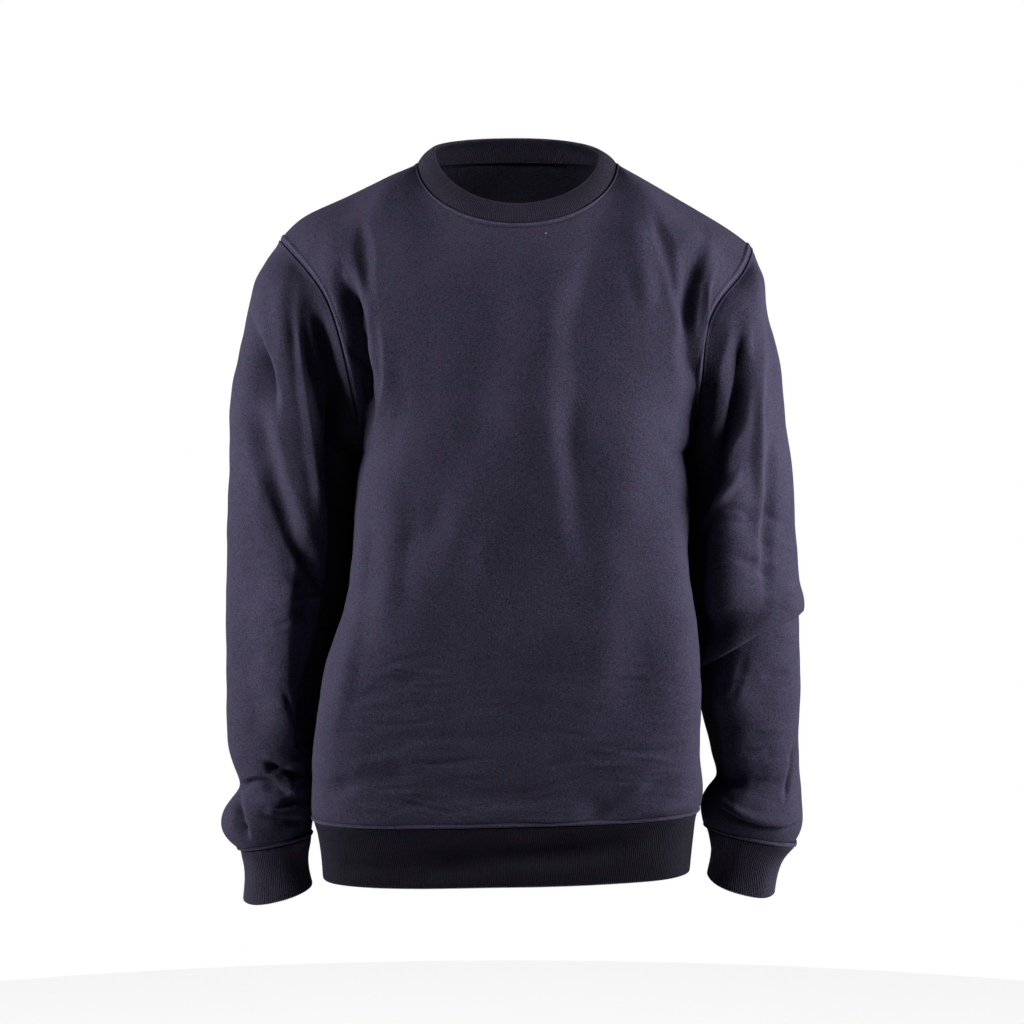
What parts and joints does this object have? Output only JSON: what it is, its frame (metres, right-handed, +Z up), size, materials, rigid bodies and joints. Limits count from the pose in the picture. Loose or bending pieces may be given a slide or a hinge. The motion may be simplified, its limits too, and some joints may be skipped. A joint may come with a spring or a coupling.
{
  "type": "crewneck sweatshirt",
  "caption": "Crewneck sweatshirt in dark brushed fleece, hollow and filled out as worn, long sleeves hanging, ribbed neckband, hem band and cuffs.",
  "frame": {"origin": "middle of the neck opening, level with the high shoulder points, where the wearer's neck and shoulders hold the garment", "axes": "+Z up along the wearer's back, -Y out of the front, +X to the wearer's left"},
  "size_m": [0.5833, 0.2728, 0.769],
  "materials": {
    "fleece": "matt brushed cotton fleece, smooth jersey face",
    "rib": "matt 1x1 rib knit"
  },
  "bodies": {
    "root": {"front": "fleece", "back": "fleece", "sleeve_right": "fleece", "sleeve_left": "fleece", "neckband": "rib", "hem_band": "rib", "cuff_right": "rib", "cuff_left": "rib"}
  },
  "joints": []
}
